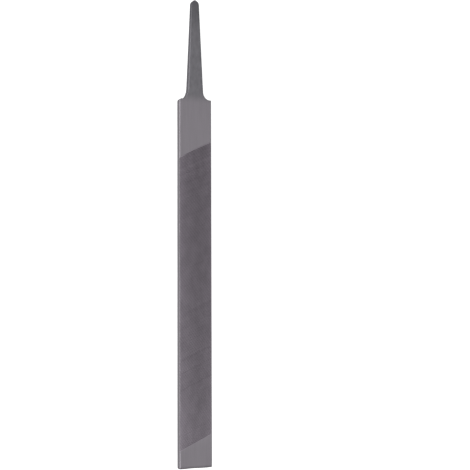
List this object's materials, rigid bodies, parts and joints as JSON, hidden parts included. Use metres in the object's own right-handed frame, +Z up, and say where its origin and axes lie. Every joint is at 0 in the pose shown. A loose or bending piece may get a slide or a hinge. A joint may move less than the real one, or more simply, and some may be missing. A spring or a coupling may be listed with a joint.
{
  "type": "flat file",
  "caption": "Single-cut flat metalworking file with slanted teeth on both faces, smooth lands at heel and toe, plain edges and a bare tapered tang.",
  "frame": {"origin": "under the middle of the whole length, from toe to tang tip, on the surface that the file lies on", "axes": "+Y along the file from the toe towards the tip of the tang, +X across the faces to the right seen from above, +Z up through the thickness"},
  "size_m": [0.014, 0.1916, 0.003],
  "materials": {
    "blade_steel": "satin ground steel, darker and matt in the toothed field",
    "tang_steel": "dull forged steel, unhardened"
  },
  "bodies": {
    "root": {"blade": "blade_steel", "tang": "tang_steel"}
  },
  "joints": []
}
